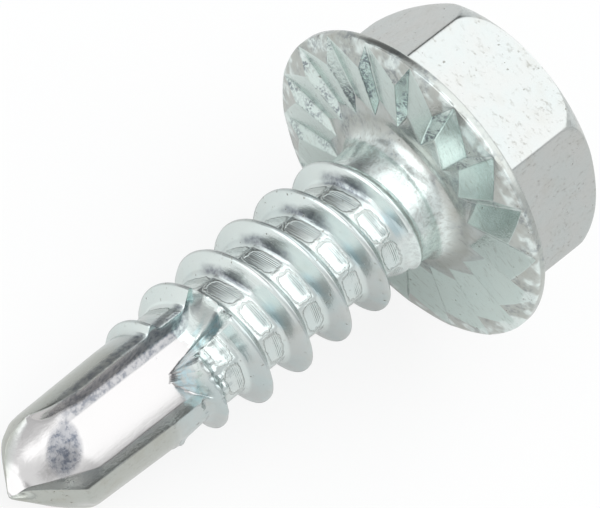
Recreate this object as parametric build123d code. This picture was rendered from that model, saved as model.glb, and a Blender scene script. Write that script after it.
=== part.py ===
from build123d import *
from math import atan2, ceil, cos, degrees, radians, sin, tan
import os

# A self drilling screw: a hexagon head on a flange whose underside carries saw teeth, a short neck, a coarse
# tapping thread and a forged drill point with two flutes. It is one solid piece of steel.
#
# The screw is built upright about its own axis: the tips of the saw teeth lie in the plane Z = 0, the head
# is above it and the drill point below. Angles are counted about that axis from +X, anticlockwise seen
# from the head. At the end the screw is laid down as it rests on a table, on its flange rim and its point.
# Lengths are in millimetres and angles in degrees.

# ---- thread -------------------------------------------------------------------------------------------
PITCH = 1.6
MAJOR_DIAMETER = 4.71
ROOT_DIAMETER = 3.5
CREST_WIDTH = 0.1
FLANK_ANGLE = 30.0          # between a flank and a plane square to the axis
THREAD_START = 4.55         # from the tip of the drill up to where the crest first rises
THREAD_PHASE = -128.25      # angle at which it does
THREAD_END = 1.0            # from the bearing plane down to where the crest is gone again
LEAD_IN_TURNS = 2.1         # turns over which the crest grows to its full height
RUN_OUT_TURNS = 0.6
THREAD_EMBED = 0.12         # how far the thread's ridge is rooted in the core
LEAST_GROWTH = 0.02         # share of the ridge's height that is left at its two ends
SPAN_TURNS = 0.5            # the ridge is made in spans of at most this many turns
POINTS_PER_SPAN = 12

# ---- shank and neck -----------------------------------------------------------------------------------
SHANK_LENGTH = 15.95        # from the bearing plane to the tip of the drill
NECK_DIAMETER = 4.0
NECK_LENGTH = 1.6           # from the bearing plane to where the neck tapers to the thread's root
NECK_TAPER = 0.35
NECK_FILLET = 0.65
FILLET_APRON = 0.5          # radial width of the cone that closes the saw teeth around the fillet
APRON_ANGLE = 17.0

# ---- flange and its saw teeth -------------------------------------------------------------------------
FLANGE_DIAMETER = 10.43
RIM_HEIGHT = 0.3            # of the cylindrical rim
BEVEL_WIDTH = 0.85          # of the bevel between the bearing face and the rim, measured radially
BEVEL_ANGLE = 18.0
FLANGE_TOP_ANGLE = 22.0
TEETH = 18
TOOTH_ANGLE = 2.95          # rise of a tooth's root line towards the rim
TOOTH_BACK = 2.4            # angle about the axis that a tooth's steep side takes
TOOTH_PHASE = -2.6          # angle of one tooth's root line

# ---- hexagon ------------------------------------------------------------------------------------------
ACROSS_FLATS = 7.85
HEAD_HEIGHT = 4.12          # from the bearing plane to the top
HEXAGON_PHASE = -11.5       # angle of one corner
CORNER_RADIUS = 0.12
SHOULDER_WIDTH = 0.95       # of the rounded shoulder, inwards from the hexagon's corners
SHOULDER_HEIGHT = 1.27

# ---- drill point --------------------------------------------------------------------------------------
DRILL_DIAMETER = 3.44
DRILL_LENGTH = 4.9          # from the tip to where the drill body reaches the thread's root diameter
LIP_ANGLE = 51.0            # between a cutting lip and the axis
LIP_RELIEF = 6.0            # tilt that makes the point's surface fall away behind each lip
LIP_PHASE = -46.0           # angle of one lip's outer corner
SPUR_LENGTH = 0.15          # of the small spur at the centre of the point
SPUR_DIAMETER = 0.4
GRIND_CLEARANCE = 0.2       # how far the ground-away volume reaches past the drill body

# ---- flutes, two alike --------------------------------------------------------------------------------
LIP_FACE = 0.42             # radial height of the cutting face beside a land
WEB_THICKNESS = 1.3         # between the floors of the two flutes
FLUTE_SPAN = 103.0          # angle about the axis from a lip to the heel of the other land
FLOOR_PLACE = 54.0          # angle from a lip to where the floor is nearest to the axis
BEND_HEIGHT = 2.4           # from the tip up to where the floors bend towards the point
POINT_WEB = 0.16            # web thickness at the tip
POINT_SPAN = 140.0          # what the flute spans at the tip
FLUTE_LENGTH = 8.25         # from the tip to the flute's far end
END_SLANT = 45.0            # of the end, down from there towards the heel
END_PLACE = -0.65           # of the far end, counted across the flute from the axis
STEP_HEIGHT = 6.1           # from the tip to the step that narrows the flute beside its lip
STEP_PLACE = -0.1           # of the step's corner, counted across the flute from the axis
ACROSS = 55.0               # angle from the lip to the direction in which these two are counted

# ---- resting on a table -------------------------------------------------------------------------------
REST_STEPS = 10             # rounds in which the rim's lowest point and the table's slope are matched


def point_at(radius, angle, height=0.0):
    """The point at a radius and an angle about the screw's axis."""
    return Vector(radius * cos(radians(angle)), radius * sin(radians(angle)), height)


def polyhedron(points, polygons):
    """The solid between flat polygons, each of them a list of indices into the points."""
    return Solid(Shell([Face(Wire.make_polygon([points[i] for i in polygon])) for polygon in polygons]))


def shank():
    """Neck with its fillet and apron, core of the thread and drill body, up to the flat end of the drill."""
    neck = NECK_DIAMETER / 2
    root = ROOT_DIAMETER / 2
    drill = DRILL_DIAMETER / 2
    foot = neck + NECK_FILLET
    apron = foot + FILLET_APRON
    apron_top = FILLET_APRON * tan(radians(APRON_ANGLE))
    with BuildPart() as body:
        with BuildSketch(Plane.XZ):
            with BuildLine():
                Polyline((0, -SHANK_LENGTH), (drill, -SHANK_LENGTH), (root, DRILL_LENGTH - SHANK_LENGTH),
                         (root, -NECK_LENGTH - NECK_TAPER), (neck, -NECK_LENGTH), (neck, -NECK_FILLET))
                RadiusArc((neck, -NECK_FILLET), (foot, 0), NECK_FILLET)
                Polyline((foot, 0), (apron, apron_top), (0, apron_top), (0, -SHANK_LENGTH))
            make_face()
        revolve(axis=Axis.Z)
    return body.part


def thread_turns():
    """How many turns the thread makes between the drill body and the neck."""
    return (SHANK_LENGTH - THREAD_START - THREAD_END) / PITCH


def ridge_section(turn):
    """The four corners of the thread's ridge after so many turns: root, crest, crest and root again."""
    turns = thread_turns()
    root = ROOT_DIAMETER / 2 - THREAD_EMBED
    height = turn * PITCH + THREAD_START - SHANK_LENGTH
    angle = THREAD_PHASE + 360 * turn
    growth = max(LEAST_GROWTH, min(1, turn / LEAD_IN_TURNS, (turns - turn) / RUN_OUT_TURNS))
    crest = root + growth * (MAJOR_DIAMETER / 2 - root)
    foot = CREST_WIDTH / 2 + (crest - root) * tan(radians(FLANK_ANGLE))
    return [point_at(root, angle, height - foot), point_at(crest, angle, height - CREST_WIDTH / 2),
            point_at(crest, angle, height + CREST_WIDTH / 2), point_at(root, angle, height + foot)]


def thread():
    """The thread's ridge: ruled strips between four helices, in spans of half a turn or less."""
    turns = thread_turns()
    spans = ceil(turns / SPAN_TURNS)
    step = turns / spans / POINTS_PER_SPAN
    faces = [Face(Wire.make_polygon(ridge_section(turn))) for turn in (0, turns)]
    for span in range(spans):
        rows = [ridge_section(step * (span * POINTS_PER_SPAN + i)) for i in range(POINTS_PER_SPAN + 1)]
        edges = [Edge.make_spline([row[k] for row in rows]) for k in range(4)]
        faces += [Face.make_surface_from_curves(edges[k], edges[(k + 1) % 4]) for k in range(4)]
    return Solid(Shell(faces))


def flange():
    """Flange with a bevelled bearing face, a cylindrical rim and a conical top running under the hexagon."""
    rim = FLANGE_DIAMETER / 2
    bevel = BEVEL_WIDTH * tan(radians(BEVEL_ANGLE))
    inner = ACROSS_FLATS / 4
    with BuildPart() as disc:
        with BuildSketch(Plane.XZ):
            with BuildLine():
                Polyline((0, 0), (rim - BEVEL_WIDTH, 0), (rim, bevel), (rim, bevel + RIM_HEIGHT),
                         (inner, bevel + RIM_HEIGHT + (rim - inner) * tan(radians(FLANGE_TOP_ANGLE))),
                         (0, bevel + RIM_HEIGHT), (0, 0))
            make_face()
        revolve(axis=Axis.Z)
    return disc.part


def hexagon():
    """Hexagon whose upper corners are rounded off by the elliptical shoulder of the forged head."""
    corner = ACROSS_FLATS / (2 * cos(radians(30)))
    with BuildPart() as head:
        with BuildSketch(Plane.XY.offset(RIM_HEIGHT)):
            RegularPolygon(corner, 6, rotation=HEXAGON_PHASE)
            fillet(vertices(), CORNER_RADIUS)
        extrude(amount=HEAD_HEIGHT - RIM_HEIGHT)
        with BuildSketch(Plane.XZ):
            with BuildLine():
                EllipticalCenterArc((corner - SHOULDER_WIDTH, HEAD_HEIGHT - SHOULDER_HEIGHT), SHOULDER_WIDTH,
                                    SHOULDER_HEIGHT, start_angle=0, arc_size=90)
                Polyline((corner - SHOULDER_WIDTH, HEAD_HEIGHT), (0, HEAD_HEIGHT), (0, 0), (corner, 0),
                         (corner, HEAD_HEIGHT - SHOULDER_HEIGHT))
            make_face()
        revolve(axis=Axis.Z, mode=Mode.INTERSECT)
    return head.part


def tooth_gap():
    """The wedge between two saw teeth, a pyramid from the axis outwards: its root line lies at angle 0."""
    reach = FLANGE_DIAMETER
    back = -reach * tan(radians(TOOTH_BACK))
    front = reach * tan(radians(360 / TEETH - TOOTH_BACK))
    depth = reach * tan(radians(TOOTH_ANGLE))
    points = [Vector(0, 0, 0), Vector(reach, back, 0), Vector(reach, 0, depth), Vector(reach, front, 0),
              Vector(reach, front, -depth), Vector(reach, back, -depth)]
    return polyhedron(points, [(0, 1, 2), (0, 2, 3), (0, 3, 4), (0, 4, 5), (0, 5, 1), (1, 2, 3, 4, 5)])


def head():
    """Hexagon and flange in one, with the saw teeth cut round the bearing face."""
    teeth = [Rot(0, 0, TOOTH_PHASE + 360 * i / TEETH) * tooth_gap() for i in range(TEETH)]
    return flange() - teeth + hexagon()


def point_grind():
    """What is taken off half of the drill's end: it leaves a cone with relief behind the lip, and a spur."""
    reach = max(DRILL_DIAMETER, ROOT_DIAMETER) / 2 + GRIND_CLEARANCE
    height = reach / tan(radians(LIP_ANGLE - LIP_RELIEF))
    spur = SPUR_DIAMETER / 2
    with BuildPart() as end:
        with BuildSketch(Plane.XZ):
            with BuildLine():
                Polyline((0, -SPUR_LENGTH), (spur, spur / tan(radians(LIP_ANGLE))),
                         (2 * height * tan(radians(LIP_ANGLE)), 2 * height), (0, 2 * height),
                         (0, -SPUR_LENGTH))
            make_face()
        revolve(axis=Axis.Z)
    blank = Pos(0, 0, -2 * SPUR_LENGTH) * Cylinder(reach, height + 2 * SPUR_LENGTH,
                                                   align=(Align.CENTER, Align.CENTER, Align.MIN))
    behind_lip = Box(4 * reach, 4 * reach, 4 * height, align=(Align.CENTER, Align.MIN, Align.CENTER))
    waste = (blank & behind_lip) - Rot(LIP_RELIEF, 0, 0) * end.part
    return Pos(0, 0, SPUR_LENGTH - SHANK_LENGTH) * Rot(0, 0, LIP_PHASE) * waste


def flute_section(face, web, span, height):
    """The flute's section: cutting face along angle 0, floor in one arc, then out past the other land."""
    outside = 2 * MAJOR_DIAMETER
    lip_side = point_at(outside, 0, height)
    corner = point_at(face, 0, height)
    deepest = point_at(web / 2, -FLOOR_PLACE, height)
    heel = point_at(DRILL_DIAMETER / 2, -span, height)
    heel_side = point_at(outside, -span, height)
    return Wire([Line(lip_side, corner), ThreePointArc(corner, deepest, heel), Line(heel, heel_side),
                 Line(heel_side, lip_side)])


def flute_end():
    """What stays solid beyond a flute: a step beside the lip, then an end that slants towards the heel."""
    reach = 3 * MAJOR_DIAMETER
    top = 3 * FLUTE_LENGTH
    heel_side = FLUTE_LENGTH - (reach + END_PLACE) * tan(radians(END_SLANT))
    with BuildPart() as end:
        with BuildSketch(Plane.XZ):
            with BuildLine():
                Polyline((reach, STEP_HEIGHT), (STEP_PLACE, STEP_HEIGHT), (END_PLACE, FLUTE_LENGTH),
                         (-reach, heel_side), (-reach, top), (reach, top), (reach, STEP_HEIGHT))
            make_face()
        extrude(amount=reach, both=True)
    return Rot(0, 0, ACROSS) * end.part


def flute():
    """One flute: straight along the drill body, bending in towards the point."""
    face = DRILL_DIAMETER / 2 - LIP_FACE
    top = 2 * FLUTE_LENGTH
    sections = [flute_section(POINT_WEB / 2, POINT_WEB, POINT_SPAN, -SPUR_LENGTH),
                flute_section(POINT_WEB / 2, POINT_WEB, POINT_SPAN, SPUR_LENGTH),
                flute_section(face, WEB_THICKNESS, FLUTE_SPAN, BEND_HEIGHT),
                flute_section(face, WEB_THICKNESS, FLUTE_SPAN, top)]
    channel = Solid.make_loft(sections, ruled=True)
    return Pos(0, 0, -SHANK_LENGTH) * Rot(0, 0, LIP_PHASE) * (channel - flute_end())


def screw():
    """The whole screw, upright."""
    body = shank() + thread()
    for half_turn in (0, 180):
        body -= Rot(0, 0, half_turn) * flute()
        body -= Rot(0, 0, half_turn) * point_grind()
    return body + head()


def table_under(body):
    """The table under the lying screw: it touches the flange rim and both sides of one flute at the point."""
    drill = DRILL_DIAMETER / 2
    bevel = BEVEL_WIDTH * tan(radians(BEVEL_ANGLE))
    far_lip = LIP_PHASE + 180
    lip_height = SPUR_LENGTH + drill / tan(radians(LIP_ANGLE)) - SHANK_LENGTH
    near_heel = point_at(drill, far_lip - FLUTE_SPAN, BEND_HEIGHT - SHANK_LENGTH)
    corners = body.vertices()
    lip = Vector(*corners.sort_by_distance(point_at(drill, far_lip, lip_height))[0])
    heel = Vector(*corners.sort_by_distance(near_heel)[0])
    facing = far_lip - FLUTE_SPAN / 2
    for _ in range(REST_STEPS):
        down = (lip - heel).cross(point_at(FLANGE_DIAMETER / 2, facing, bevel) - heel).normalized()
        facing = degrees(atan2(down.Y, down.X))
    return Plane(origin=heel, x_dir=Vector(0, 0, 1) - down * down.Z, z_dir=-down)


def laid_down(body):
    """Lay the screw on the table with its head towards +X, centred over the origin."""
    lying = table_under(body).to_local_coords(body)
    box = lying.bounding_box()
    return Pos(-box.center().X, -box.center().Y, -box.min.Z) * lying


os.makedirs("parts", exist_ok=True)
export_step(laid_down(screw()), "parts/self_drilling_screw.step")
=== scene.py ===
"""A zinc plated self drilling screw with a serrated hexagon flange head, lying on a pale studio floor."""

import bpy
import numpy as np
from bpy.props import FloatProperty, FloatVectorProperty, PointerProperty
from mathutils import Matrix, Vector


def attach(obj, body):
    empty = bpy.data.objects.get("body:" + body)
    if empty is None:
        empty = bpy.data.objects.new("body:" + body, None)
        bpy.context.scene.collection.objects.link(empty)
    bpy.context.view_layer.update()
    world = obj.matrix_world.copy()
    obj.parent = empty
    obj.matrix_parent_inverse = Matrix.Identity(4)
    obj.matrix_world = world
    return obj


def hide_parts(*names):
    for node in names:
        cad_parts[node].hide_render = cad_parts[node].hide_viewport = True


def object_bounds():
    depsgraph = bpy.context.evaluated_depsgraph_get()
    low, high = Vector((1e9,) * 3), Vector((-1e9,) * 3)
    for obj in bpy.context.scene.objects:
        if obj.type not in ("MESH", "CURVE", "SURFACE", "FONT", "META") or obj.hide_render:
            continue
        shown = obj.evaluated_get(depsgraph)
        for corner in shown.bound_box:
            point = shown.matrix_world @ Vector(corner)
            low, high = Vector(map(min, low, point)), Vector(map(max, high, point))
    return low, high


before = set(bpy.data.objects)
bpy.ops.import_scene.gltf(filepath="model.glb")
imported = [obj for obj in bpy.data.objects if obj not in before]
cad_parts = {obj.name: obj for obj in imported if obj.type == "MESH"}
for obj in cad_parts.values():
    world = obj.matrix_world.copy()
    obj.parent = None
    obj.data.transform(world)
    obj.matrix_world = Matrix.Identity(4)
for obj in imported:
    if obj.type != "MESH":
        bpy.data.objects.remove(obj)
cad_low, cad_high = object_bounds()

bl_info = {
    "name": "Self drilling screw",
    "version": (1, 0, 0),
    "blender": (4, 5, 0),
    "location": "3D View > Sidebar > Screw",
    "description": "Makes a flanged self drilling screw, its plating and a small studio around it",
    "category": "Object",
}

NODE = "self_drilling_screw"
MM = 0.001

# The screw's own frame, in millimetres: its axis is Z, the head is up and the saw teeth's tips lie in Z = 0.
# These rows turn it into the frame of the table that it lies on, and LAID_AT moves it there.
LAID_ROWS = np.array([[0.0619252, 0.2725311, 0.9601521],
                      [-0.9751434, 0.2215745, 0.0],
                      [-0.2127453, -0.9362860, 0.2794780]])
LAID_AT = np.array([5.1658806, 0.0, 4.9397719])

# The camera: how far the screw's axis rises in its view, the angle between the axis and the line of sight, and
# one point of the axis, its height in the screw's frame and its place from the camera: right, down and away.
AXIS_SLANT = 37.9089
AXIS_AWAY = 62.9396
SIGHT_HEIGHT = 0.37
SIGHT_FROM_CAMERA = (3.2441, -2.0398, 221.8198)

# The studio's light as lobes: the angle from the line towards the camera, the turn from the right towards the
# top, the angles within which a lobe is full and beyond which it is gone, and its strength. There is a large
# softbox overhead, and weaker ones are near the camera, at the left and behind.
SOFTBOXES = ((60, 42, 30, 47, 0.95), (8, 120, 20, 50, 0.35), (42, 180, 14, 34, 0.9), (118, 48, 18, 36, 0.4),
             (22, 350, 4, 10, 0.9))
GAPS = ((100, 99, 12, 26, 0.75), (27, 75, 6, 17, 0.6), (80, 150, 6, 20, 0.45))
GAP_MOST = 0.9          # how much of the light a gap can take
SKY = (0.97, 0.99, 1.0)
FLOOR_HALF = 1.2        # half of the floor's width, in metres
FLOOR_FRONT = (-0.9, -0.43, 0.0)    # on the floor, from the screw towards the camera
FLOOR_GLOW = 0.85       # share of plain white in what the camera sees of the floor
MIRRORED = (0.2, 0.9)   # share of it in reflections, behind the screw and before it


# ---- sizes and colours ----

def length(name, description, default):
    return FloatProperty(name=name, description=description, default=default * MM, unit="LENGTH", precision=5)


def angle(name, description, default):
    return FloatProperty(name=name, description=description, default=np.radians(default), unit="ROTATION",
                         subtype="ANGLE")


def number(name, description, default, low=0.0, high=1.0):
    return FloatProperty(name=name, description=description, default=default, min=low, max=high)


def colour(name, description, default):
    return FloatVectorProperty(name=name, description=description, default=default, size=3, min=0.0, max=1.0,
                               subtype="COLOR")


class ScrewSizes(bpy.types.PropertyGroup):
    """Sizes of the screw's forms."""

    pitch: length("Pitch", "Distance from one thread crest to the next", 1.6)
    major: length("Thread diameter", "Over the thread's crests", 4.71)
    root: length("Core diameter", "Between the thread's crests", 3.5)
    crest: length("Crest width", "Width of the flat on a crest", 0.1)
    flank: angle("Flank angle", "Between a flank and a plane square to the axis", 30.0)
    shank: length("Length under the head", "From the teeth's tips to the drill's tip", 15.95)
    neck: length("Neck diameter", "Between the thread and the flange", 4.0)
    fillet: length("Neck fillet", "Radius between the neck and the flange", 0.65)
    flange: length("Flange diameter", "Over the rim", 10.43)
    rim: length("Rim height", "Of the rim's straight side", 0.3)
    bevel: length("Bevel width", "From the bearing face to the rim, measured radially", 0.85)
    tooth: angle("Tooth angle", "Rise of a tooth's root line towards the rim", 2.95)
    flats: length("Across flats", "Width of the hexagon", 7.85)
    head: length("Head height", "From the teeth's tips to the top", 4.12)
    corner: length("Corner radius", "Rounding of the hexagon's upright edges", 0.12)
    drill: length("Drill diameter", "Across the lands near the point", 3.44)


class ZincFinish(bpy.types.PropertyGroup):
    """Colours and roughness of the zinc plating, and the colours of its painted highlights and painted shade."""

    bright: colour("Bright zinc", "Colour of the smooth plating", (0.55, 0.572, 0.562))
    polished: colour("Polished flute", "Colour of the plating on the flutes' floors", (0.585, 0.567, 0.562))
    cool: colour("Cool film", "Colour of the plating under a bluish film", (0.52, 0.585, 0.585))
    warm: colour("Warm film", "Colour of the plating under a yellowish film", (0.46, 0.468, 0.43))
    teal: colour("Teeth", "Colour of the plating between the teeth", (0.66, 0.755, 0.72))
    blue: colour("Torn metal", "Colour of the film on the torn ends of the flutes", (0.48, 0.64, 0.69))
    # The coarse plating's colour also paints highlights on one side's flanks, the thread's roots, the flutes'
    # torn ends, the bevel by the rim and the neck.
    frosted_and_highlight: colour("Coarse plating", "Colour on the neck, the flanks and torn metal", (0.78, 0.85, 0.83))
    # The dull patches' colour also paints shade on the saw teeth's steep sides and a dark reflection on the
    # flanks beside the core.
    violet: colour("Dull patches", "Colour of the coarse plating in the flutes", (0.13, 0.145, 0.18))
    soil: colour("Specks", "Colour of the specks and scratches", (0.26, 0.25, 0.22))
    roughness: number("Roughness", "Of the smooth plating", 0.14)


class StudioChoices(bpy.types.PropertyGroup):
    """Floor, light and lens of the studio."""

    floor: colour("Floor", "Colour of the studio floor", (0.78, 0.78, 0.77))
    ambient: number("Ambient light", "Strength of the light from all round", 0.8, 0.0, 4.0)
    lens: number("Lens", "Focal length of the camera, in millimetres", 456.1, 50.0, 900.0)


# ---- surfaces ----

# Angles are in degrees and lengths in millimetres, in the screw's own frame.
TEETH = 18              # saw teeth under the flange
TOOTH_COLUMNS = 14      # lines along the screw for each of them
COLUMNS = TEETH * TOOTH_COLUMNS
TOOTH_PITCH = 360.0 / TEETH
TOOTH_ROOT = -0.8       # angle of one tooth's root line
TOOTH_BACK = 4.5        # angle taken by a tooth's steep side
FIRST_COLUMN = -45.0    # angle near which the first line runs
LIP = -46.0             # angle of one cutting lip; the other is opposite
LAND = 77.0             # angle that a land takes behind its lip
TURNS = 7               # turns of the thread's grid
CREST_FIRST = -12.163   # height of the crest line where the thread's grid begins
SEAM_ANGLE = 60.0       # angle at which it begins
HEX_CORNER = -11.45     # angle of one corner of the hexagon
CORNER_CUT = 0.154      # how far its rounding takes a corner in, for a rounding of one millimetre
CORNER_EDGE = 0.035     # blend between a corner and the sides beside it
PANELS = 9              # flat panels that the rolling of the thread left round the core
PANEL_EDGE = -21.0      # angle between two of them
PANEL_DEPTH = 0.06      # how far they are hollowed
PANEL_SPAN = (5.4, 6.6, 13.6, 14.2)  # heights above the tip between which they lie
CRUMBLED = 0.15         # height of the crumbled metal beside a flute's end
CRUMBLED_SPAN = (5.8, 6.1, 6.9, 7.5)  # its heights above the tip
CRUMBLED_TURN = (-52, -44, 5, 32)   # its angles behind the cutting face
# The burr at the thread's start: its angle and width, its height above the tip and length, and its thickness.
BURR = (183.0, 6.0, 5.36, 0.12, 0.11)
TORN = 0.07             # raggedness of a flute's end
CORE_EDGE = 0.09        # rounding between the core and the thread's ridge
LAND_EDGE = 0.05        # rounding between the point's ground surface and the land
BEVEL_SLOPE = 18.0      # fall of the bevel from the bearing face to the rim
APRON_SLOPE = 17.0      # rise of the cone between the neck's fillet and the teeth
TOP_SLOPE = 22.0        # rise of the flange's top towards the hexagon
SHOULDER = (0.95, 1.27)             # width and height of the ellipse over the hexagon's shoulder
TOOTH_GAP = 0.02        # step between the cone and the teeth's inner ends
FLUTE_AXIS = 54.0       # angle from a cutting face to the axis of the floor's parabola
FLUTE_SKEW = 0.105      # the parabola's terms of first and second degree across that axis
FLUTE_BOW = 0.203
OUTSIDE = 9.0           # distance from the axis beyond the whole shank
WALL = 2.0              # half of the angle of the lines that run down the second land's heel
UNDERCUT = 0.55         # share of that land's extra angle which its undercut takes back at the floor
TOP_EDGES = (0.04, 0.05)            # gaps beside the flange top's rings, at the rim and at the hexagon
RIBS = 26.0             # fine lines along the thread in one pitch, left by the rolling
DULL_AT = (-0.12, 2.03)             # middle of the dull patch: across the screw's frame, and above the tip
FLANK_HIGHLIGHT = np.radians(-150.0)   # side on which the flanks get a painted highlight
EDGE_SOFTNESS = 0.35    # how far every point moves towards its neighbours' mean
TORN_SOFTNESS, TORN_ROUNDS = 0.5, 3  # the same for torn metal, and how often
SHARP_ANGLE = 50.0      # edges that bend more are shaded sharp
FEWEST_FACES = 1000

# Lines on the drill's end, as heights above the tip and distances from the axis: a cutting lip, the backs of
# the two lands, of which the second is ground away more, and the flute's floor, where it meets its axis.
LIP_LINE = ((0.0, 0.1, 0.2, 0.36, 0.5, 0.8, 1.17, 1.57, 1.9, 3.0),
            (0.0, 0.05, 0.08, 0.11, 0.21, 0.6, 1.14, 1.74, 2.3, 5.0))
FULL_BACK = ((0.0, 0.07, 0.16, 0.41, 0.66, 0.83, 1.01, 1.33, 1.53, 1.86, 2.1, 2.5, 3.5),
             (0.0, 0.15, 0.27, 0.69, 1.07, 1.29, 1.44, 1.59, 1.67, 1.73, 1.8, 2.0, 5.0))
LEAN_BACK = ((0.0, 0.1, 0.25, 0.65, 1.03, 1.42, 1.71, 1.94, 2.29, 2.6, 3.5),
             (0.0, 0.12, 0.27, 0.64, 0.98, 1.3, 1.5, 1.66, 1.8, 2.0, 5.0))
FLOOR_LINE = ((0.0, 0.3, 0.55, 0.66, 0.98, 1.36, 1.73, 2.0, 2.4, 2.9),
              (0.05, 0.06, 0.065, 0.09, 0.243, 0.385, 0.493, 0.58, 0.671, 0.68))
# The upper flute's heel, as heights and the angle that its land takes there.
HEEL_EDGE = ((1.6, 1.75, 2.0, 2.25, 2.9, 3.3, 8.2, 11.0), (77.0, 78.0, 83.0, 86.0, 91.0, 94.0, 94.0, 77.0))
# The flute's torn end, as angles into it and heights above the tip: where its floor stops, and where the end
# meets the shank's surface.
END_FOOT = ((0, 3, 7, 25, 41, 46, 51, 54, 56, 58, 61, 65, 73, 84, 88, 95, 103),
            (6.15, 6.1, 6.0, 5.93, 6.1, 6.3, 6.57, 6.8, 6.95, 7.0, 7.05, 7.1, 7.1, 7.0, 6.95, 6.9, 6.8))
END_TOP = ((0, 25, 36, 40, 42.5, 44, 45, 46, 48, 51, 54, 59, 65, 75, 86, 95, 103),
           (6.28, 6.2, 6.2, 6.3, 6.5, 6.85, 7.2, 7.5, 7.8, 8.05, 8.1, 8.05, 7.98, 7.86, 7.78, 7.72, 7.6))
# How much of its full height the thread has, by the height of its crest line: growing and fading.
THREAD_START = ((-11.1, -10.83, -10.6, -10.3, -10.0, -9.3, -8.4, -7.7),
                (0.0, 0.06, 0.2, 0.36, 0.46, 0.64, 0.84, 1.0))
THREAD_END = ((-2.2, -1.63, -1.3, -1.0, -0.9), (1.0, 0.68, 0.52, 0.18, 0.0))
# What a point of the skin can lie on, for its plating.
MARKS = ("flute", "face", "torn", "teeth", "hexagon")


def smooth_step(x, low, high):
    """0 below low, 1 above high, and a cubic ramp between them."""
    t = np.clip((x - low) / (high - low), 0.0, 1.0)
    return t * t * (3.0 - 2.0 * t)


def band(x, low, from_, until, high):
    """1 between the two middle numbers, and 0 below the first and above the last."""
    return smooth_step(x, low, from_) * (1 - smooth_step(x, until, high))


def soft_min(a, b, radius):
    """The lower of two values, with the corner between them rounded over about the radius."""
    h = np.clip(0.5 + 0.5 * (b - a) / radius, 0.0, 1.0)
    return b + (a - b) * h - radius * h * (1.0 - h)


def soft_max(a, b, radius):
    """The higher of two values, with the corner between them rounded over about the radius."""
    return -soft_min(-a, -b, radius)


def eased(x, line, reach):
    """A line's value at x with its corners rounded over the reach: the mean of five values close together."""
    return sum(np.interp(x + reach * step, *line) for step in (-1.0, -0.5, 0.0, 0.5, 1.0)) / 5.0


def noise(x, y, seed, octaves=3):
    """Smooth value noise over a plane, -1 to 1: lattice values blended with cubic ramps, in octaves."""
    total = np.zeros(np.broadcast(x, y).shape)
    for octave in range(octaves):
        scale = 2.0 ** octave
        u, v = x * scale + 17.3 * octave, y * scale - 9.1 * octave
        i, j = np.floor(u), np.floor(v)
        fu, fv = u - i, v - j
        fu, fv = fu * fu * (3 - 2 * fu), fv * fv * (3 - 2 * fv)

        def lattice(a, b):
            n = np.sin(a * 127.1 + b * 311.7 + seed * 74.7) * 43758.5453
            return 2.0 * (n - np.floor(n)) - 1.0

        low = lattice(i, j) * (1 - fu) + lattice(i + 1, j) * fu
        high = lattice(i, j + 1) * (1 - fu) + lattice(i + 1, j + 1) * fu
        total += (low * (1 - fv) + high * fv) / scale
    return total / 1.75


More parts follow.
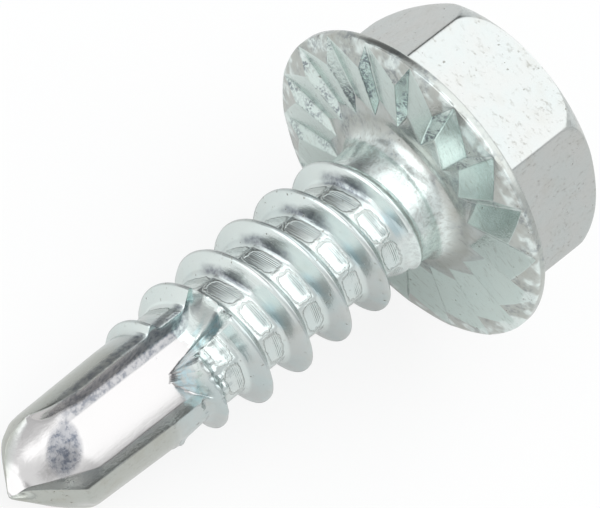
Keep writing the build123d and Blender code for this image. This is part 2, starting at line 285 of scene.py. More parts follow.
class Forms:
    """The screw's radius and height as functions of the angle and the height, in its own frame."""

    def __init__(self, sizes):
        for name in ScrewSizes.__annotations__:
            setattr(self, name, getattr(sizes, name) / MM)
        self.flank, self.tooth = np.tan(sizes.flank), np.tan(sizes.tooth)
        self.bevel_slope = np.tan(np.radians(BEVEL_SLOPE))
        self.apron_slope = np.tan(np.radians(APRON_SLOPE))
        self.top_slope = np.tan(np.radians(TOP_SLOPE))
        self.foot = self.neck / 2 + self.fillet

    def drill_columns(self):
        """Angles of the columns, which are lines along the drill, and how far each follows a flute's floor."""
        half = COLUMNS // 2
        at = [0, 1, 3, 34, 37, 38, 39, 42, 112, 115, half]
        angles = [0, 0.9, 3.2, LAND - 3.2, LAND - 0.8, LAND, LAND + 0.8, LAND + 4.0, 177.3, 179.1, 180.0]
        shares = np.interp(np.arange(half), [0, 115, half], [1, 1, 0])
        one = np.interp(np.arange(half), at, angles)
        return LIP + np.concatenate([one, one + 180]), np.concatenate([shares, shares])

    def head_columns(self):
        """Angles of the columns on the saw teeth: close together at the crest and root lines."""
        at = [0, 1, 3, 4, 5, TOOTH_COLUMNS - 1, TOOTH_COLUMNS]
        angles = [0, 0.45, TOOTH_BACK - 0.5, TOOTH_BACK, TOOTH_BACK + 0.55, TOOTH_PITCH - 0.5, TOOTH_PITCH]
        one = np.interp(np.arange(TOOTH_COLUMNS), at, angles)
        first = TOOTH_ROOT - TOOTH_BACK - 2.0 * TOOTH_PITCH
        return first + np.concatenate([one + TOOTH_PITCH * k for k in range(TEETH)])

    def hex_columns(self):
        """Angles of the columns on the hexagon: close together at its corners."""
        at = [0, 1, 2, 3, 5, 37, 39, 40, 41, 42]
        angles = [0, 0.5, 1.0, 1.6, 3.4, 56.6, 58.4, 59.0, 59.5, 60.0]
        one = np.interp(np.arange(COLUMNS // 6), at, angles)
        angles = HEX_CORNER - 60.0 + np.concatenate([one + 60 * k for k in range(6)])
        # rolled round until every column lies near the same column of the teeth
        ahead = int(round((FIRST_COLUMN - HEX_CORNER + 60.0) / (360.0 / COLUMNS)))
        return np.concatenate([angles[ahead:], angles[:ahead] + 360.0])

    def flute_floor(self, into, height):
        """Distance from the axis to the flute's floor, at an angle into the flute from its cutting face.

        Square to the axis the floor is a shallow parabola, and its height along the parabola's axis follows
        the floor line. This solves the parabola for the distance along the ray at the angle.
        """
        turned = np.radians(into - FLUTE_AXIS)
        across, out = np.sin(turned), np.cos(turned)
        lift = eased(height, FLOOR_LINE, 0.12)
        slope = out - FLUTE_SKEW * across
        inside = slope ** 2 - 4.0 * FLUTE_BOW * across ** 2 * lift
        reached = (inside > 0.0) & (slope > 0.0)
        near = slope + np.sqrt(np.where(reached, inside, 0.0))
        return np.where(reached, 2.0 * lift / np.where(reached, near, 1.0), OUTSIDE)

    def point_back(self, behind, side, height):
        """Distance from the axis to the point's ground surface, behind the first lip or the second one.

        It follows the lip's line at the lip, passes to the back's line over the first 46 degrees, and returns
        between 115 and 155 degrees.
        """
        lip = eased(height, LIP_LINE, 0.04)
        back = np.where(side > 0, eased(height, FULL_BACK, 0.1), eased(height, LEAN_BACK, 0.1))
        return lip + (back - lip) * (smooth_step(behind, 0.0, 46.0) - smooth_step(behind, 115.0, 155.0))

    def heel_swing(self, side):
        """Heights, and by how much a land's heel has swung towards its lip there, where the floor meets it."""
        heights = np.linspace(0.0, 3.0, 61)
        angles = np.linspace(0.0, 80.0, 321)
        high, into = np.meshgrid(heights, 103.0 + angles, indexing="ij")
        land = np.minimum(self.core(high - self.shank), self.point_back(180.0 - into, side, high))
        under = self.flute_floor(into, high) > land
        first = np.argmax(under, axis=1)
        return heights, np.where(under.any(axis=1), angles[first], angles[-1]).clip(0.0, 60.0)

    def ridge(self, turned, z):
        """Distance from the axis to the thread's ridge, at an unwound angle and a height.

        The nearest crest line passes at its own height, the flanks fall off in straight lines on both sides,
        and the crest grows from the core over its first turns and fades over its last part turn.
        """
        crest_line = CREST_FIRST + self.pitch * (turned - SEAM_ANGLE) / 360.0
        crest_line = crest_line + np.round((z - crest_line) / self.pitch) * self.pitch
        grown = np.interp(crest_line, *THREAD_START) * np.interp(crest_line, *THREAD_END)
        crest = self.root / 2 + grown * (self.major - self.root) / 2
        fall = np.maximum(0.0, np.abs(z - crest_line) - self.crest / 2) / self.flank
        return np.where(grown > 0.001, crest - fall, 0.0)

    def core(self, z):
        """Radius of the drill body, the thread's core and the neck: straight lines between six heights."""
        drill, root = self.drill / 2, self.root / 2
        return np.interp(z, [-self.shank, -self.shank + 1.8, -self.shank + 4.9, -1.95, -1.6, -self.fillet],
                         [drill - 0.03, drill - 0.02, root + 0.02, root, self.neck / 2 - 0.1, self.neck / 2])


def polar(radius, z, turn):
    """Points at a distance from the axis, a height and an angle in radians."""
    return np.stack([radius * np.cos(turn), radius * np.sin(turn), z + 0 * radius], -1)


class Grid:
    """The screw's skin: rings at the point and the head, and between them a strip wound along the thread."""

    def __init__(self, forms):
        self.f = forms
        self.points, self.faces, self.marks = [], [], {}
        self.count = 0
        self.drill_angle, self.share = forms.drill_columns()
        self.head_angle = forms.head_columns()
        self.hex_angle = forms.hex_columns()
        self.swing = [forms.heel_swing(side) for side in (0, 1)]

    def column_angle(self, column, z):
        """Angle of a column at a height: as on the drill below, as on the teeth above, blended between."""
        w = smooth_step(z, -7.4, -1.6)
        turn = np.floor_divide(column, COLUMNS)
        c = np.mod(column, COLUMNS)
        return self.drill_angle[c] * (1 - w) + self.head_angle[c] * w + 360.0 * turn

    def add_shank(self, column, way):
        """Adds points on the drill, the thread and the neck, with marks, and returns their numbers.

        The way is the height, and past the foot of the neck's fillet it is the length along the fillet's arc.
        The radius is the core with the thread's ridge on it, cut off by the point's ground surface, and dug out
        by the flute in the flute's columns. In the torn end the flute's floor climbs back to the land.
        """
        f = self.f
        arc = np.clip((way + f.fillet) / f.fillet, 0.0, np.pi / 2)
        z = np.where(way > -f.fillet, -f.fillet + f.fillet * np.sin(arc), way)
        core = np.where(way > -f.fillet, f.foot - f.fillet * np.cos(arc), f.core(way))
        height = z + f.shank
        share = self.share[np.mod(column, COLUMNS)]
        theta = self.column_angle(column, z)
        from_lip = np.mod(theta - LIP, 360.0)
        side = np.floor(from_lip / 180.0)
        behind = from_lip - 180.0 * side
        # the second land is wider: its columns spread, and a few of them run down the flute's undercut heel
        edge = np.where(side > 0, np.interp(height, *HEEL_EDGE), LAND)
        under = (edge - LAND) * UNDERCUT * (1 - smooth_step(height, 8.0, 8.6))
        down = np.clip((behind - LAND + WALL) / (2 * WALL), 0.0, 1.0)
        past = 180.0 - (180.0 - behind) * (180.0 - edge + under) / (180.0 - WALL - LAND)
        wide = np.where(behind < LAND - WALL, behind * edge / (LAND - WALL),
                        np.where(behind < LAND + WALL, edge - under * down, past))
        walled = (side > 0) & (edge > LAND + 0.01)
        theta = theta + np.where(walled, wide - behind, 0.0)
        share = np.where(walled, share * down, share)
        behind = np.where(walled, wide, behind)
        # the heels swing round towards the tip
        swing = np.where(side > 0, np.interp(height, *self.swing[1]), np.interp(height, *self.swing[0]))
        turn = -swing * np.interp(behind, [0, 3, LAND, 177, 180], [0, 0, 1, 0, 0])
        theta = theta + turn
        behind = behind + turn
        into = 180.0 - behind
        # the flat panels round the core, each hollowed towards its middle
        panel = np.mod((theta - PANEL_EDGE) * PANELS / 360.0, 1.0) * 2.0 - 1.0
        hollow = PANEL_DEPTH * (1 - panel ** 2) * band(height, *PANEL_SPAN)
        body = soft_max(core - hollow, f.ridge(theta, z), CORE_EDGE)
        # crumbled metal beside the end of a flute, and the small burr where the thread starts
        crumbled = CRUMBLED * band(np.where(behind > 90, behind - 180, behind), *CRUMBLED_TURN)
        body = body + crumbled * band(height, *CRUMBLED_SPAN) * noise(theta / 6.0, z * 5.0, 3.0, 2)
        at, wide, up, tall, out = BURR
        burr = ((np.mod(theta + 180.0, 360.0) - at) / wide) ** 2 + ((height - up) / tall) ** 2
        body = body + out * np.exp(-burr)
        land = soft_min(body, f.point_back(behind, side, height), LAND_EDGE)
        floor = f.flute_floor(into, height)
        round_heel = 0.04 + smooth_step(into, 60, 80) * np.interp(height, [1.7, 2.6], [0.24, 0.02])
        dug = soft_min(floor, land, round_heel * smooth_step(height, 0.1, 0.6) + 0.005)
        torn = TORN * noise(into / 13.0, height * 0.9 + 9.0 * side, 5.0, 2) * (1 - smooth_step(into, 60, 80))
        foot = np.interp(into, *END_FOOT)
        filled = np.clip((height + torn - foot) / (np.interp(into, *END_TOP) - foot), 0.0, 1.0)
        dug = dug + (land - dug) * filled ** (1.0 + 1.5 * smooth_step(into, 54, 64))
        radius = land * (1 - share) + dug * share
        is_flute = (share > 0.02) & (dug < land - 0.004)
        is_face = is_flute & (share < 0.98) & (behind > 150)
        is_torn = is_flute & (filled > 0.0)
        return self.add(polar(radius, z, np.radians(theta)), flute=is_flute, face=is_face, torn=is_torn)

    def add(self, points, **marks):
        """Keeps points and their marks, and returns their numbers."""
        shape = points.shape[:-1]
        numbers = np.arange(self.count, self.count + points.size // 3).reshape(shape)
        self.points.append(points.reshape(-1, 3))
        for name in MARKS:
            value = np.asarray(marks.get(name, 0.0), float)
            self.marks.setdefault(name, []).append(np.broadcast_to(value, shape).reshape(-1))
        self.count += numbers.size
        return numbers

    def quads(self, low, high):
        """Faces between lines of point numbers which run the same way; low is nearer to the tip."""
        self.faces.append(np.stack([low[:-1], low[1:], high[1:], high[:-1]], -1).reshape(-1, 4))

    def sheet(self, numbers):
        """Faces between all the neighbours in a table of point numbers; its columns run towards the head."""
        self.quads(numbers[:, :-1], numbers[:, 1:])

    def ring(self, below, above):
        """Faces between two closed rings of point numbers."""
        self.quads(np.append(below, below[:1]), np.append(above, above[:1]))

    def fan(self, first, second, point):
        """Triangles from pairs of a ring's point numbers to a point on the axis."""
        middle = np.full(len(first), self.add(np.array([point]))[0])
        self.faces.append(np.stack([first, second, middle, middle], -1))

    def stack(self, below, points, **marks):
        """Adds a ring of points above the last one and returns its numbers."""
        above = self.add(points, **marks)
        self.ring(below, above)
        return above


def profile_offsets(f):
    """Distances of the strip's rows from the crest line: close at the crest and at the flanks' feet."""
    foot = f.crest / 2 + (f.major - f.root) / 2 * f.flank + 0.02
    near = np.array([0.05, 0.1, 0.18, 0.27, 0.35, foot, 0.47, 0.53, 0.61, 0.70])
    return np.concatenate([[-f.pitch / 2], -near[::-1], [0.0], near])


def thread_skin(g):
    """Adds a strip wound along the thread, and the wedges between it and a level ring under and over it.

    The strip's rows follow the crest line at each column's angle. Returns the column at the strip's seam, and
    for both rings their point numbers and their height.
    """
    f, n = g.f, COLUMNS
    offsets = profile_offsets(f)
    rows = len(offsets)
    seam = int(np.argmin(np.abs(g.drill_angle - SEAM_ANGLE)))
    columns = seam + np.arange(n * TURNS + 1)
    last = n * (TURNS - 1)

    def strip(column, offset):
        """Adds points of the strip; returns their numbers and heights."""
        theta = g.column_angle(column, CREST_FIRST + f.pitch * (column - seam) / n)
        z = CREST_FIRST + f.pitch * (theta - SEAM_ANGLE) / 360.0 + offset
        return g.add_shank(column, z), z

    body, z_body = strip(*np.meshgrid(columns, offsets, indexing="ij"))
    tail, z_tail = strip(columns[last + 1:], np.full(n, f.pitch / 2))
    top = np.concatenate([body[n:, 0], tail])                 # the strip's upper side, for every column
    full = np.concatenate([body, top[:, None]], axis=1)
    g.sheet(full)

    shares = (offsets[1:] + f.pitch / 2) / f.pitch            # of a wedge's rows
    ring_columns = seam + np.arange(1, n)

    def wedge(columns, low, high, base_z):
        """Adds the rows between two heights of every column, and the level ring; returns both."""
        across, share = np.meshgrid(columns, shares, indexing="ij")
        inner = g.add_shank(across, low[:, None] + (high - low)[:, None] * share)
        return inner, g.add_shank(columns, np.full(n - 1, base_z))

    z_low, first = z_body[0, 0], full[0, 0]
    inner, base = wedge(ring_columns, np.full(n - 1, z_low), z_body[1:n, 0], z_low)
    middle = np.column_stack([base, inner, full[1:n, 0]])
    g.sheet(np.vstack([np.full(rows + 1, first), middle, full[0]]))
    lower_ring = np.append(first, base)

    z_high, end = z_tail[-1], full[-1, rows]
    inner, base = wedge(ring_columns + last, z_tail[:-1], np.full(n - 1, z_high), z_high)
    middle = np.column_stack([full[last + 1:-1, rows], inner, base])
    g.sheet(np.vstack([full[-1], middle, np.full(rows + 1, end)]))
    return seam, lower_ring, z_low, np.append(end, base), z_high


def drill_skin(g, order, above, z_low):
    """Adds the drill's rings, from the thread's lowest ring down to the tip."""
    f = g.f
    heights = np.concatenate([[0.07, 0.13, 0.19, 0.26, 0.34, 0.42], np.linspace(0.5, 2.3, 34),
                              np.linspace(2.36, z_low + f.shank - 0.06, 10)])
    for height in heights[::-1]:
        below = g.add_shank(order, np.full(COLUMNS, height - f.shank))
        g.ring(below, above)
        above = below
    g.fan(np.roll(above, -1), above, (0.0, 0.0, -f.shank))


def flange_skin(g, order, ring, z_high):
    """Adds the rings over the neck's fillet, the saw teeth, the bevel and the rim; returns the last ring.

    The teeth are planes through the middle of the bearing face, a steep one from a crest to the root line and
    a gentle one on to the next crest. They end where they meet a cone round the neck and the bevel's cone.
    """
    f, n = g.f, COLUMNS
    theta = g.head_angle[order]
    spin = np.radians(theta)

    def rise(part, whole):
        """Height of a plane through the axis, as a share of its height at the whole angle."""
        return np.sin(np.radians(np.clip(part, 0, whole))) / np.sin(np.radians(whole))

    past_root = np.mod(theta - TOOTH_ROOT + TOOTH_BACK, TOOTH_PITCH) - TOOTH_BACK
    gentle = TOOTH_PITCH - TOOTH_BACK
    tooth = f.tooth * np.where(past_root < 0, rise(past_root + TOOTH_BACK, TOOTH_BACK),
                               rise(gentle - past_root, gentle))
    inner = f.foot * f.apron_slope / (f.apron_slope - tooth)
    rim = f.flange / 2
    bearing = rim - f.bevel
    outer = bearing * f.bevel_slope / (f.bevel_slope - tooth)

    for turn in np.linspace((z_high + f.fillet) / f.fillet, np.pi / 2, 7)[1:]:
        r = np.full(n, f.foot - f.fillet * np.cos(turn))
        ring = g.stack(ring, polar(r, -f.fillet + f.fillet * np.sin(turn), spin))
    for t in (0.35, 0.7, 1.0):
        r = f.foot + (inner - f.foot) * t + TOOTH_GAP * t
        ring = g.stack(ring, polar(r, (r - f.foot) * f.apron_slope, spin), teeth=0.5)
    for t in np.concatenate([[0.03, 0.08], np.linspace(0.14, 0.94, 12), [0.985, 1.0]]):
        r = inner + TOOTH_GAP + (outer - inner - TOOTH_GAP) * t
        ring = g.stack(ring, polar(r, r * tooth, spin), teeth=1.0)
    for t in (0.04, 0.2, 0.4, 0.6, 0.8, 0.93):
        r = outer + (rim - outer) * t
        ring = g.stack(ring, polar(r, (r - bearing) * f.bevel_slope, spin))
    foot = f.bevel * f.bevel_slope
    for inset, z in ((0.012, foot + 0.012), (0.0, foot + 0.045), (0.0, foot + 0.5 * f.rim),
                     (0.0, foot + f.rim - 0.045), (0.02, foot + f.rim - 0.006)):
        ring = g.stack(ring, polar(np.full(n, rim - inset), z, spin))
    return ring


def head_skin(g, order, ring):
    """Adds the rings over the flange's top, the hexagon and its shoulder, to the middle of the head.

    The shoulder is a quarter ellipse turned round the axis, and the hexagon's sides end where it cuts them.
    """
    f, n = g.f, COLUMNS
    spin, hex_theta = np.radians(g.head_angle[order]), g.hex_angle[order]
    hex_spin = np.radians(hex_theta)
    rim = f.flange / 2
    z_rim = f.bevel * f.bevel_slope + f.rim
    flat = f.flats / 2 / np.cos(np.radians(np.mod(hex_theta - HEX_CORNER, 60.0) - 30.0))
    corner = f.flats / 2 / np.cos(np.radians(30.0))
    side = soft_min(flat, np.full(n, corner - CORNER_CUT * f.corner), CORNER_EDGE)
    for t in (0.03, 0.15, 0.35, 0.6, 0.8, 0.93, 1.0):
        slid = smooth_step(t, 0.0, 0.8)             # from the teeth's columns to the hexagon's
        r = rim - TOP_EDGES[0] + (side + TOP_EDGES[1] - rim + TOP_EDGES[0]) * t
        ring = g.stack(ring, polar(r, z_rim + (rim - r) * f.top_slope, spin * (1 - slid) + hex_spin * slid))

    width, tall = SHOULDER
    top = corner - width                            # radius of the flat middle of the head
    past = np.clip((side - top) / width, -1, 1)
    z_cut = f.head - tall + tall * np.sqrt(1 - past * past)
    z_foot = z_rim + (rim - side) * f.top_slope
    for t in (0.02, 0.06, 0.15, 0.3, 0.5, 0.7, 0.85, 0.95, 0.985, 1.0):
        inset = 0.012 * smooth_step(t, 0.98, 1.0)
        ring = g.stack(ring, polar(side - inset, z_foot + (z_cut - z_foot) * t, hex_spin), hexagon=1.0)
    cut = np.arccos(past)
    for t in np.concatenate([[0.03, 0.1], np.linspace(0.2, 1.0, 12)]):
        turn = cut + (np.pi / 2 - cut) * t
        points = polar(top + width * np.cos(turn), f.head - tall + tall * np.sin(turn), hex_spin)
        ring = g.stack(ring, points, hexagon=0.6)
    for t in (0.9, 0.75, 0.55, 0.35, 0.15, 0.05):
        ring = g.stack(ring, polar(np.full(n, top * t), f.head, hex_spin), hexagon=0.6)
    g.fan(ring, np.roll(ring, -1), (0.0, 0.0, f.head))


def screw_skin(sizes):
    """Works out the whole skin and returns its points, faces and marks."""
    g = Grid(Forms(sizes))
    seam, lower_ring, z_low, upper_ring, z_high = thread_skin(g)
    order = np.mod(seam + np.arange(COLUMNS), COLUMNS)
    drill_skin(g, order, lower_ring, z_low)
    head_skin(g, order, flange_skin(g, order, upper_ring, z_high))
    marks = {name: np.concatenate(values) for name, values in g.marks.items()}
    return np.concatenate(g.points), np.concatenate(g.faces), marks


def softened(points, faces, weight, rounds):
    """Moves every point part of the way to the mean of its neighbours, which rounds the edges."""
    pairs = np.concatenate([faces[:, [k, (k + 1) % 4]] for k in range(4)])
    pairs = pairs[pairs[:, 0] != pairs[:, 1]]
    for _ in range(rounds):
        total = np.zeros_like(points)
        count = np.zeros(len(points))
        for a, b in ((0, 1), (1, 0)):
            for axis in range(3):
                total[:, axis] += np.bincount(pairs[:, a], points[pairs[:, b], axis], len(points))
            count += np.bincount(pairs[:, a], minlength=len(points))
        points = points + (total / count[:, None] - points) * weight
    return points


def new_mesh(name, points, faces, marks):
    """A mesh object at the origin from arrays; equal neighbours among a face's four corners count as one."""
    kept = faces != np.roll(faces, 1, axis=1)
    corners = kept.sum(axis=1)
    kept &= (corners > 2)[:, None]
    corners = corners[corners > 2]
    loops, starts = faces[kept], np.cumsum(corners) - corners
    mesh = bpy.data.meshes.new(name)
    mesh.vertices.add(len(points))
    mesh.vertices.foreach_set("co", points.astype(np.float32).reshape(-1))
    mesh.loops.add(len(loops))
    mesh.loops.foreach_set("vertex_index", loops.astype(np.int32))
    mesh.polygons.add(len(starts))
    mesh.polygons.foreach_set("loop_start", starts.astype(np.int32))
    mesh.polygons.foreach_set("use_smooth", np.ones(len(starts), bool))
    mesh.update(calc_edges=True)
    mesh.validate()
    for mark, values in marks.items():
        layer = mesh.attributes.new(mark, "FLOAT", "POINT")
        layer.data.foreach_set("value", values.astype(np.float32))
    piece = bpy.data.objects.new(name, mesh)
    bpy.context.scene.collection.objects.link(piece)
    return piece


# ---- materials ----

def by_math(operation):
    """A method that adds a Math node to a socket and another value."""
    return lambda self, other: self.math(operation, other)


class Socket:
    """A node's output that can be used in sums: each operator adds a Math node."""

    def __init__(self, tree, output):
        self.tree, self.output = tree, output

    def math(self, operation, *others):
        return self.tree.node("Math", dict(enumerate((self, *others))), operation=operation)

    __add__ = __radd__ = by_math("ADD")
    __sub__ = by_math("SUBTRACT")
    __mul__ = __rmul__ = by_math("MULTIPLY")
    __truediv__ = by_math("DIVIDE")
    __pow__ = by_math("POWER")
    low = by_math("MINIMUM")

    def __rsub__(self, other):
        return self.tree.node("Math", {0: other, 1: self}, operation="SUBTRACT")

    def ramp(self, low, high, to_low=0.0, to_high=1.0):
        """The value mapped smoothly from low..high to to_low..to_high, and held beyond."""
        return self.tree.node("MapRange", {"Value": self, "From Min": low, "From Max": high, "To Min": to_low,
                                           "To Max": to_high}, interpolation_type="SMOOTHSTEP")

    def band(self, low, from_, until, high):
        """1 between the two middle numbers, and 0 below the first and above the last."""
        return self.ramp(low, from_) * (1 - self.ramp(until, high))


class Tree:
    """A node tree under construction."""

    def __init__(self, owner):
        owner.use_nodes = True
        self.tree = owner.node_tree
        self.tree.nodes.clear()

    def put(self, target, value):
        """Links a socket to an input, or sets the input to a number, a vector or a colour."""
        if isinstance(value, Socket):
            self.tree.links.new(value.output, target)
        else:
            target.default_value = (*value, 1.0) if target.type == "RGBA" else value

    def node(self, kind, values=None, output=0, **settings):
        """Adds a shader node with its settings and the values or links of its inputs; returns an output."""
        node = self.tree.nodes.new("ShaderNode" + kind)
        for name, value in settings.items():
            setattr(node, name, value)
        for name, value in (values or {}).items():
            self.put(node.inputs[name], value)
        return Socket(self, node.outputs[output]) if node.outputs else None

    def mix(self, share, first, second):
        """Blends two colours."""
        node = self.tree.nodes.new("ShaderNodeMix")
        node.data_type = "RGBA"
        inputs = {entry.identifier: entry for entry in node.inputs}
        for name, value in (("Factor_Float", share), ("A_Color", first), ("B_Color", second)):
            self.put(inputs[name], value)
        return Socket(self, next(entry for entry in node.outputs if entry.identifier == "Result_Color"))

    def split(self, vector):
        """The three numbers of a vector."""
        first = self.node("SeparateXYZ", {0: vector})
        return [Socket(self, part) for part in first.output.node.outputs]

    def vector(self, operation, first, second, output="Vector"):
        return self.node("VectorMath", {0: first, 1: second}, output, operation=operation)

    def noise(self, place, scale, detail=2.0, roughness=0.5):
        return self.node("TexNoise", {"Vector": place, "Scale": scale, "Detail": detail, "Roughness": roughness})


def screw_frame(tree):
    """Object coordinates turned back into the screw's own frame, in millimetres."""
    shifted = tree.vector("SUBTRACT", tree.node("TexCoord", output="Object"), tuple(LAID_AT * MM))
    turned = Matrix(LAID_ROWS.tolist()).transposed().to_euler("XYZ")
    own = tree.node("Mapping", {"Vector": shifted, "Rotation": tuple(turned)})
    return tree.vector("MULTIPLY", own, (1.0 / MM,) * 3)


def zinc_material(finish, sizes):
    """Bright zinc: fine grain, rolling marks on the core, thin coloured films, specks and scratches, painted
    highlights and painted shade.
    """
    material = bpy.data.materials.new("bright_zinc")
    t = Tree(material)
    own = screw_frame(t)
    x, y, z = t.split(own)
    flute, face, torn, teeth, hexagon = (
        t.node("Attribute", output="Fac", attribute_name=name) for name in MARKS)

    # places: height above the tip, angle, share of a pitch above a crest line, angle into the flute
    height = z + sizes.shank / MM
    radius = (x * x + y * y) ** 0.5
    turned = y.math("ARCTAN2", x) * (180.0 / np.pi)
    crest = ((z - CREST_FIRST) / (sizes.pitch / MM) - (turned - SEAM_ANGLE) / 360.0).math("FRACT")
    into = ((LIP - turned) / 180.0).math("FRACT") * 180.0
    head = height.ramp(14.4, 15.4)
    shank = 1 - head
    drill = 1 - height.ramp(4.6, 5.4)
    bare = (1 - flute) * (1 - face)
    root = (1 - radius.ramp(1.78, 1.88)) * height.band(6.3, 7.2, 14.0, 14.6) * bare

    # patterns
    grain = t.noise(own, 13.0, 3.0, 0.6)
    beaten = t.noise(own, 6.5, 3.0, 0.65)
    cloud = t.noise(own, 0.9, 3.0, 0.55)
    drift = t.noise(t.vector("ADD", own, (31.0,) * 3), 1.7, 2.0, 0.5)
    dots = t.noise(t.vector("ADD", own, (7.0,) * 3), 7.0, 1.0, 0.5)
    scratched = t.noise(t.vector("MULTIPLY", own, (1.1, 4.5, 2.4)), 2.6, 4.0, 0.7)
    along = t.noise(t.vector("MULTIPLY", own, (1.6, 1.6, 0.35)), 4.0, 2.0, 0.5)
    circling = t.node("CombineXYZ", {0: x * 0.3, 1: y * 0.3, 2: crest * 11.0 + z * 0.2})
    rolled = t.noise(circling, 2.0, 3.0, 0.6)
    stripes = (crest * RIBS * 2 * np.pi).math("SINE") * crest.band(0.5, 0.56, 0.74, 0.8)

    # the dull, coarse patch on the floor near the point, an ellipse that lies aslant
    aside, above = x - DULL_AT[0], height - DULL_AT[1]
    dull = (aside * 1.34 + above * 1.65) ** 2 + (aside * 1.04 - above * 0.85) ** 2
    dull = (1 - (dull * 0.75 + drift * 0.8).ramp(0.85, 1.5)) * flute * (1 - face) * (1 - y.ramp(-0.1, 0.0))
    # the grainy strip along the flute's heel, and the heel's ledges under the thread
    heel = into.band(86, 89, 95, 102) * height.band(2.2, 3.0, 7.5, 7.9) * (1 - radius.ramp(1.77, 1.83))
    ledge = flute * radius.ramp(1.74, 1.8) * (1 - torn)
    # on the flanks which face the point, deepest beside the core: a painted dark reflection in violet, and a
    # thin blue film
    beside = crest.ramp(0.72, 0.78) * (1 - (radius + drift * 0.25).ramp(2.0, 2.25)) * bare
    beside = beside * height.band(7.6, 8.2, 14.2, 14.6)
    painted_dark_reflection = turned.band(-166, -148, -114, -94) * beside
    blue_film = turned.band(-92, -78, -66, -52) * beside
    # painted highlight: paler flanks on one side of the screw
    outward = (x * float(np.cos(FLANK_HIGHLIGHT)) + y * float(np.sin(FLANK_HIGHLIGHT))) / radius
    flank = crest.band(0.76, 0.82, 0.95, 0.98) * outward.ramp(-0.09, 0.42)
    flank = flank * height.ramp(5.4, 6.0) * shank * bare
    # thin raised outline of each rolled panel, a rounded rectangle
    across = (((turned - PANEL_EDGE) * PANELS / 360.0).math("FRACT") - 0.5) * 2.0
    up = (crest - 0.51) / 0.21
    inward = (across ** 2 * across ** 2 + up ** 2 * up ** 2) ** 0.25 + (beaten - 0.5) * 0.4
    outline = inward.band(0.77, 0.85, 0.88, 0.98) * root
    # painted shade on the saw teeth's steep sides, and coarse dark stains in patches over the flange and the
    # neck
    phase = ((turned - TOOTH_ROOT + TOOTH_BACK) / TOOTH_PITCH).math("FRACT")
    steep = teeth.ramp(0.6, 1.0) * (1 - phase.ramp(0.22, 0.24)) * drift.ramp(0.4, 0.6)
    stained = head * (1 - hexagon) * (1 - teeth) * cloud.ramp(0.45, 0.65) * 0.5

    # colour, in layers on top of each other
    warm = ((drill + head * (1 - teeth) * (0.7 - hexagon * 0.3)) * bare).low(1.0)
    # paler plating: painted highlight on the flutes' torn ends, the flanks of one side and the thread's roots;
    # paler too on the flutes' outer edges
    pale = torn * into.ramp(56, 66) + flank * 0.7 + root * 0.5 + flute * radius.ramp(1.8, 1.86)
    # painted highlight in patches on the bevel near the rim
    rim = radius.ramp(4.7, 4.85) * (1 - z.ramp(0.3, 0.4)) * (1 - drift.ramp(0.4, 0.55)) * 0.9
    # in the dull colour: the heel's grainy strip, the painted dark reflection, painted shade on the teeth's
    # steep sides, and stains
    stains_and_shade = heel * beaten.ramp(0.35, 0.6, 0.75, 0.25) + painted_dark_reflection * beaten.ramp(0.3, 0.7, 0.85, 0.45)
    stains_and_shade = stains_and_shade + steep * grain.ramp(0.42, 0.58) * 0.75 + stained * beaten.ramp(0.42, 0.6)
    specks = (dots + radius.ramp(2.05, 2.3) * shank * 0.035).ramp(0.69, 0.78) * cloud.ramp(0.45, 0.6, 0.2, 1.0)
    worn = hexagon * drift.ramp(0.35, 0.6, 0.1, 0.55) + head * (1 - hexagon) * 0.3 + drill * bare * 0.25
    scratches = scratched.ramp(0.54, 0.68) * worn
    tint = t.mix(cloud.ramp(0.35, 0.7), finish.bright, finish.cool)
    for share, layer in (
            (warm * 0.8 + drift.ramp(0.5, 0.75) * 0.35, finish.warm),
            (teeth.ramp(0.6, 1.0) * 0.8, finish.teal),
            (torn * beaten.ramp(0.3, 0.65) * (1 - into.ramp(56, 66)) * 0.9, finish.blue),
            # mottled paler plating on the neck and its fillet, partly coarse plating and partly painted
            # highlight
            (height.band(13.9, 14.5, 15.6, 15.9) * beaten.ramp(0.3, 0.6, 0.3, 0.9), finish.frosted_and_highlight),
            (flute * (1 - face) * (1 - torn) + hexagon * 0.35, finish.polished),
            (pale + rim, finish.frosted_and_highlight),
            (blue_film * 0.65, finish.blue),
            (stains_and_shade + dull * beaten.ramp(0.3, 0.6, 0.97, 0.5), finish.violet),
            (face * 0.5, finish.warm),
            ((specks * bare * 0.75 + scratches + outline * 0.3).low(0.9), finish.soil)):
        tint = t.mix(share, tint, layer)

    # relief, in millimetres
    coarse = 0.0016 + dull * 0.008 + heel * 0.012 + torn * into.ramp(56, 66, 0.014, 0.004)
    coarse = coarse + teeth.ramp(0.2, 0.4) * 0.002 + face * 0.004 + height.band(13.8, 14.6, 16.0, 16.1) * 0.0016
    ribs = stripes * 0.008 * drift.ramp(0.3, 0.55) * (1 - inward.ramp(0.7, 0.8))
    relief = beaten * coarse + grain * 0.0009 + root * (ribs + rolled * 0.012) + outline * 0.014
    relief = relief + (1 - root) * shank * bare * rolled * 0.003 - specks * 0.002 + along * flute * 0.004
    bump = t.node("Bump", {"Strength": 1.0, "Distance": MM, "Height": relief})
    rough = finish.roughness + (grain + dull) * 0.1 + (specks + heel) * 0.2 + hexagon * 0.06 + ledge * 0.25
    shader = t.node("BsdfPrincipled", {"Base Color": tint, "Metallic": 1.0, "Roughness": rough, "Normal": bump})
    t.node("OutputMaterial", {"Surface": shader})
    return material


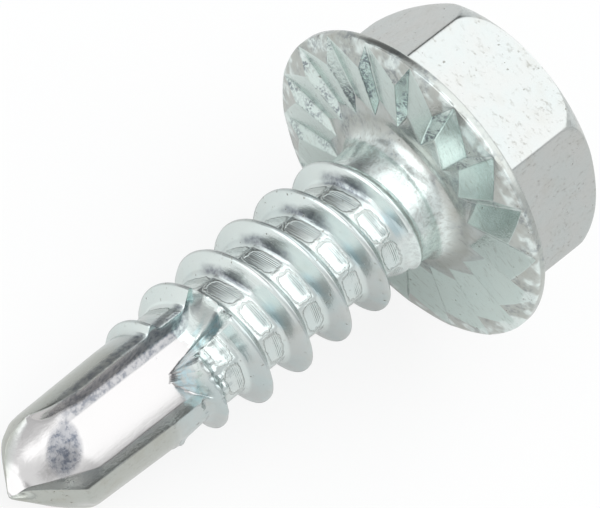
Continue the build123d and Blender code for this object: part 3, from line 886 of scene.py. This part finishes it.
def floor_material(shade):
    """A pale floor that is nearly white to the camera and, before the screw, in reflections; shadows stay."""
    material = bpy.data.materials.new("pale_floor")
    t = Tree(material)
    before = t.vector("DOT_PRODUCT", t.node("TexCoord", output="Object"), FLOOR_FRONT, "Value")
    camera, glossy, clear = (t.node("LightPath", output=name)
                             for name in ("Is Camera Ray", "Is Glossy Ray", "Is Transmission Ray"))
    seen = camera + (glossy + clear) * before.ramp(-0.005, 0.015, *MIRRORED)
    paint = t.node("BsdfPrincipled", {"Base Color": shade, "Roughness": 0.3})
    glow = t.node("Emission", {"Strength": 1.0})
    both = t.node("MixShader", {0: seen * FLOOR_GLOW, 1: paint, 2: glow})
    t.node("OutputMaterial", {"Surface": both})
    return material


# ---- studio ----

def add_floor(scene, shade):
    """Adds a square floor at the height of the table."""
    corners = [(x * FLOOR_HALF, y * FLOOR_HALF, 0) for x, y in ((-1, -1), (1, -1), (1, 1), (-1, 1))]
    mesh = bpy.data.meshes.new("floor")
    mesh.from_pydata(corners, [], [(0, 1, 2, 3)])
    mesh.materials.append(floor_material(shade))
    floor = bpy.data.objects.new("floor", mesh)
    scene.collection.objects.link(floor)


def add_camera(scene, lens):
    """Adds the camera, and returns its directions right, down and away as columns in the table's frame."""
    slant, away = np.radians(AXIS_SLANT), np.radians(AXIS_AWAY)
    along, sight = np.array([np.cos(slant), -np.sin(slant), 0.0]), np.array([0.0, 0.0, 1.0])
    # the screw's own axes, one in each column, as the camera sees them
    seen = np.stack([[np.sin(slant), np.cos(slant), 0.0], np.sin(away) * sight - np.cos(away) * along,
                     np.sin(away) * along + np.cos(away) * sight], 1)
    axes = LAID_ROWS @ seen.T
    stand = np.array([0.0, 0.0, SIGHT_HEIGHT]) - seen.T @ np.array(SIGHT_FROM_CAMERA)
    matrix = np.identity(4)
    matrix[:3, :3] = axes * (1.0, -1.0, -1.0)
    matrix[:3, 3] = (LAID_ROWS @ stand + LAID_AT) * MM
    data = bpy.data.cameras.new("camera")
    data.lens = lens
    data.sensor_width = 36.0
    data.clip_start, data.clip_end = 0.01, 10.0
    camera = bpy.data.objects.new("camera", data)
    camera.matrix_world = Matrix(matrix.tolist())
    scene.collection.objects.link(camera)
    scene.camera = camera
    return axes


def add_light(scene, ambient, axes):
    """Lights the scene from its world: an even sky, with softboxes on it and dark gaps between them."""
    world = bpy.data.worlds.new("studio")
    scene.world = world
    t = Tree(world)
    way = t.node("TexCoord", output="Generated")

    def lobes(table, total):
        """Adds lobes to a total: each is full within its inner angle and gone beyond its outer one."""
        for off, turn, inner, outer, strength in table:
            off, turn = np.radians([off, turn])
            toward = axes @ np.array([np.sin(off) * np.cos(turn), -np.sin(off) * np.sin(turn), -np.cos(off)])
            dot = t.vector("DOT_PRODUCT", way, tuple(toward), "Value")
            total = total + dot.ramp(*np.cos(np.radians([outer, inner])).tolist()) * strength
        return total

    strength = lobes(SOFTBOXES, ambient) * (1 - lobes(GAPS, 0.0).low(GAP_MOST))
    sky = t.node("Background", {"Color": SKY, "Strength": strength})
    t.node("OutputWorld", {"Surface": sky})


# ---- operators ----

class MakeScrew(bpy.types.Operator):
    """Makes the screw's skin, plates it and lays it in place of the plain model."""

    bl_idname = "screw.make_screw"
    bl_label = "Screw"

    def execute(self, context):
        scene = context.scene
        points, faces, marks = screw_skin(scene.screw_sizes)
        points = softened(points, faces, EDGE_SOFTNESS, 1)
        points = softened(points, faces, TORN_SOFTNESS * marks["torn"][:, None], TORN_ROUNDS)
        laid = np.clip((points @ LAID_ROWS.T + LAID_AT) * MM, np.array(cad_low), np.array(cad_high))
        piece = new_mesh("zinc_screw", laid, faces, marks)
        if len(piece.data.polygons) < FEWEST_FACES:
            raise RuntimeError("the screw's skin has too few faces")
        piece.data.set_sharp_from_angle(angle=np.radians(SHARP_ANGLE))
        piece.data.materials.append(zinc_material(scene.zinc_finish, scene.screw_sizes))
        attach(piece, "root")
        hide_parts(NODE)
        return {"FINISHED"}


class MakeStage(bpy.types.Operator):
    """Makes the floor, the light and the camera."""

    bl_idname = "screw.make_stage"
    bl_label = "Studio"

    def execute(self, context):
        scene = context.scene
        choices = scene.studio_choices
        add_floor(scene, tuple(choices.floor))
        axes = add_camera(scene, choices.lens)
        add_light(scene, choices.ambient, axes)
        scene.view_settings.view_transform = "Standard"
        return {"FINISHED"}


class ScrewPanel(bpy.types.Panel):
    """Lists the makers and their choices."""

    bl_idname = "SCREW_PT_panel"
    bl_label = "Self drilling screw"
    bl_space_type = "VIEW_3D"
    bl_region_type = "UI"
    bl_category = "Screw"

    def draw(self, context):
        for group in GROUPS:
            box = self.layout.box()
            settings = getattr(context.scene, group)
            for name in settings.bl_rna.properties.keys():
                if name not in ("rna_type", "name"):
                    box.prop(settings, name)
        for operator in (MakeScrew, MakeStage):
            self.layout.operator(operator.bl_idname)


GROUPS = {"screw_sizes": ScrewSizes, "zinc_finish": ZincFinish, "studio_choices": StudioChoices}
CLASSES = (*GROUPS.values(), MakeScrew, MakeStage, ScrewPanel)


def register():
    for kind in CLASSES:
        bpy.utils.register_class(kind)
    for name, kind in GROUPS.items():
        setattr(bpy.types.Scene, name, PointerProperty(type=kind))


def unregister():
    for name in GROUPS:
        delattr(bpy.types.Scene, name)
    for kind in reversed(CLASSES):
        bpy.utils.unregister_class(kind)


def main():
    register()
    bpy.ops.screw.make_stage()
    bpy.ops.screw.make_screw()


if __name__ == "__main__":
    main()
